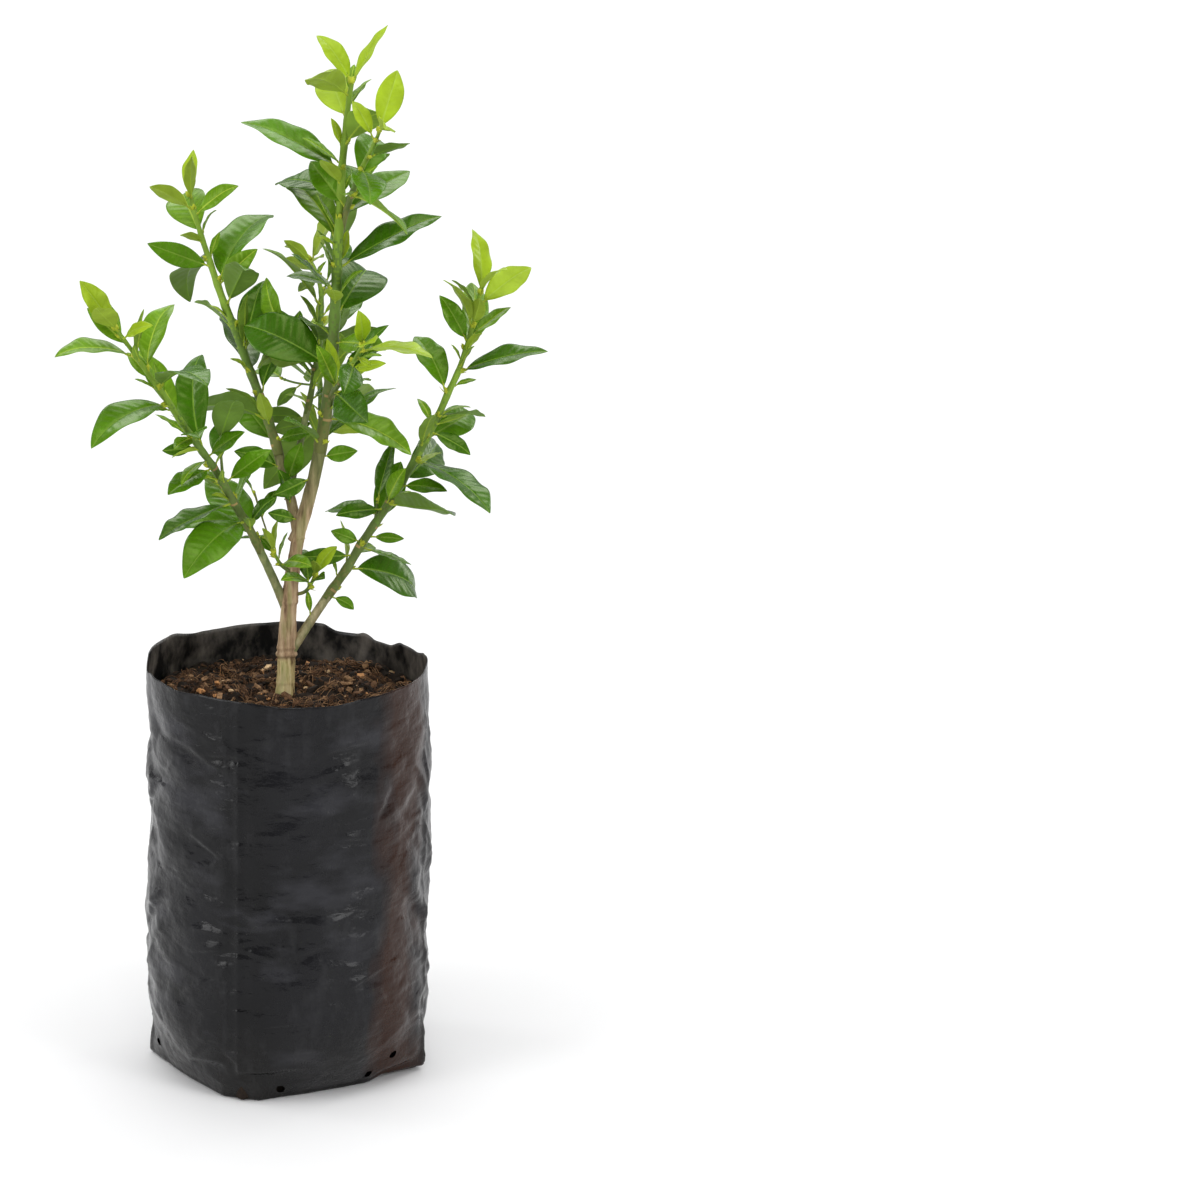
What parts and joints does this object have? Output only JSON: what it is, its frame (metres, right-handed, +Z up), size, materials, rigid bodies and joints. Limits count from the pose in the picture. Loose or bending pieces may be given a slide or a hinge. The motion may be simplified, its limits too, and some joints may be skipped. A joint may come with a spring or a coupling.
{
  "type": "finger lime tree in a nursery grow bag",
  "caption": "Young finger lime tree with forked boughs and glossy green leaves, growing in a round black film grow bag of potting mix.",
  "frame": {"origin": "middle of the grow bag's flat underside, on the surface that it stands on", "axes": "+Z up the trunk, +X to the right of the plant's best side, +Y away from that side"},
  "size_m": [0.254, 0.2379, 0.5744],
  "materials": {
    "film": "satin, creased",
    "potting_mix": "rough chips and fibres",
    "bark": "matte, ridged",
    "green_bark": "matte, smooth",
    "foliage": "glossy leaf"
  },
  "bodies": {
    "root": {"grow_bag": "film", "soil": "potting_mix", "trunk": "bark", "bough_leader": "green_bark", "bough_left_mid": "green_bark", "bough_left_low": "green_bark", "bough_right": "green_bark", "bough_centre": "green_bark", "bough_back": "green_bark", "foliage_leader": "foliage", "foliage_left_low": "foliage", "foliage_left_mid": "foliage", "foliage_right": "foliage", "foliage_centre": "foliage", "foliage_back": "foliage", "foliage_sprout_left": "foliage", "foliage_sprout_right": "foliage"}
  },
  "joints": []
}
